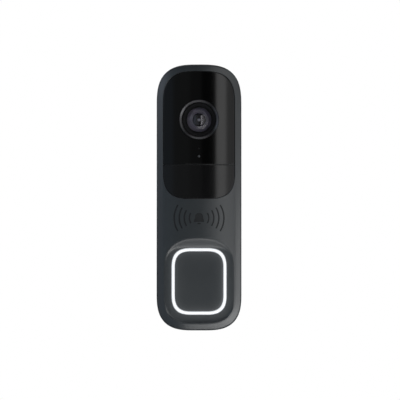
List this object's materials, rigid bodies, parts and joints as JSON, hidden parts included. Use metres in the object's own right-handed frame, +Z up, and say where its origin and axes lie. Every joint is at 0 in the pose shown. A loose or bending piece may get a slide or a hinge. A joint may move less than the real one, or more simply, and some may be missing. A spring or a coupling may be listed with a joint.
{
  "type": "video doorbell",
  "caption": "Slim upright video doorbell with a camera window, lit call button and slide-on wall plate.",
  "frame": {"origin": "middle of the wall plate's back face, which lies on the wall", "axes": "+Z up the wall, the front with its camera and button looks along -Y, +X to the right as one faces the wall"},
  "size_m": [0.0438, 0.0293, 0.137],
  "materials": {
    "graphite_shell": "fine satin texture",
    "rear_graphite": "fine matte texture",
    "button_graphite": "smooth satin",
    "plate_black": "moulded matte",
    "window_black": "polished, infra-red clear",
    "sensor_window": "satin-polished lens sheet",
    "mark_ink": "matte, recessed",
    "bezel_black": "polished chamfer",
    "baffle_black": "dead flat",
    "barrel_black": "anodised",
    "lens_glass": "coated",
    "filter_glass": "coated",
    "sensor_die": "silicon under a cover glass",
    "holder_black": "moulded",
    "board_green": "solder mask",
    "chip_black": "moulded package",
    "emitter_dark": "clear dome over a dark package",
    "pipe_grey": "smoked clear",
    "can_steel": "tinned",
    "screw_steel": "zinc plated",
    "seal_rubber": "moulded silicone",
    "foam_black": "closed-cell foam",
    "ring_white": "milky light guide, lit",
    "led_white": "white chip with phosphor",
    "plunger_amber": "moulded",
    "connector_ivory": "moulded",
    "ribbon_amber": "polyimide",
    "battery_wrap": "laminate pouch",
    "lead_red": "silicone insulation",
    "speaker_black": "moulded box",
    "mesh_grey": "fine woven mesh",
    "gold": "gold plated",
    "brass": "knurled",
    "terminal_green": "moulded",
    "pin_black": "moulded",
    "pin_red": "moulded"
  },
  "bodies": {
    "wall_plate": {"wall_plate": "plate_black"},
    "lock_screw": {"lock_screw": "screw_steel"},
    "doorbell": {"front_housing": "graphite_shell", "rear_housing": "rear_graphite", "housing_seal": "seal_rubber", "housing_screws": "screw_steel", "camera_window": "window_black", "pir_lens": "sensor_window", "bell_mark": "mark_ink", "lens_bezel": "bezel_black", "lens_baffle": "baffle_black", "front_lens": "lens_glass", "lens_barrel": "barrel_black", "inner_lens": "lens_glass", "lens_seal": "seal_rubber", "lens_holder": "holder_black", "ir_filter": "filter_glass", "image_sensor": "sensor_die", "camera_board": "board_green", "camera_screws": "screw_steel", "ir_emitters": "emitter_dark", "light_pipe": "pipe_grey", "light_sensor": "chip_black", "microphone": "can_steel", "microphone_boot": "seal_rubber", "pir_sensor": "can_steel", "light_ring": "ring_white", "ring_leds": "led_white", "button_board": "board_green", "button_board_screws": "screw_steel", "button_switch": "chip_black", "button_pad": "seal_rubber", "main_board": "board_green", "main_board_screws": "screw_steel", "shield_can": "can_steel", "board_chips": "chip_black", "camera_connector": "connector_ivory", "ribbon_connectors": "connector_ivory", "button_ribbon": "ribbon_amber", "battery": "battery_wrap", "battery_tape": "foam_black", "battery_retainer": "holder_black", "battery_lead": "lead_red", "battery_connector": "connector_ivory", "speaker": "speaker_black", "speaker_seal": "foam_black", "speaker_mesh": "mesh_grey", "speaker_contacts": "gold", "antennas": "gold", "terminal_block": "terminal_green", "terminal_screws": "screw_steel", "lock_insert": "brass", "rear_switches": "chip_black"},
    "button": {"button_cap": "button_graphite"},
    "switch_plunger": {"switch_plunger": "plunger_amber"},
    "tamper_plunger": {"tamper_plunger": "pin_black"},
    "reset_button": {"reset_button": "pin_red"}
  },
  "joints": [
    {"name": "lock_screw_out", "type": "slide", "parent": "wall_plate", "child": "lock_screw", "axis": [0, 0, -1], "range_m": [0, 0.006]},
    {"name": "unit_lift", "type": "slide", "parent": "wall_plate", "child": "doorbell", "axis": [0, 0, 1], "range_m": [0, 0.006]},
    {"name": "button_press", "type": "slide", "parent": "doorbell", "child": "button", "axis": [0, 1, 0], "range_m": [0, 0.0005], "stiffness_N_per_m": 2500, "springref_m": -0.0004, "deforming": ["button_pad"]},
    {"name": "switch_press", "type": "slide", "parent": "doorbell", "child": "switch_plunger", "axis": [0, 1, 0], "range_m": [0, 0.0005]},
    {"name": "tamper_out", "type": "slide", "parent": "doorbell", "child": "tamper_plunger", "axis": [0, -1, 0], "range_m": [0, 0.001], "stiffness_N_per_m": 300, "springref_m": -0.001},
    {"name": "reset_press", "type": "slide", "parent": "doorbell", "child": "reset_button", "axis": [0, -1, 0], "range_m": [0, 0.0006], "stiffness_N_per_m": 1000, "springref_m": -0.0005}
  ],
  "couplings": [
    {"joint": "switch_press", "follows": "button_press", "ratio": 1}
  ]
}
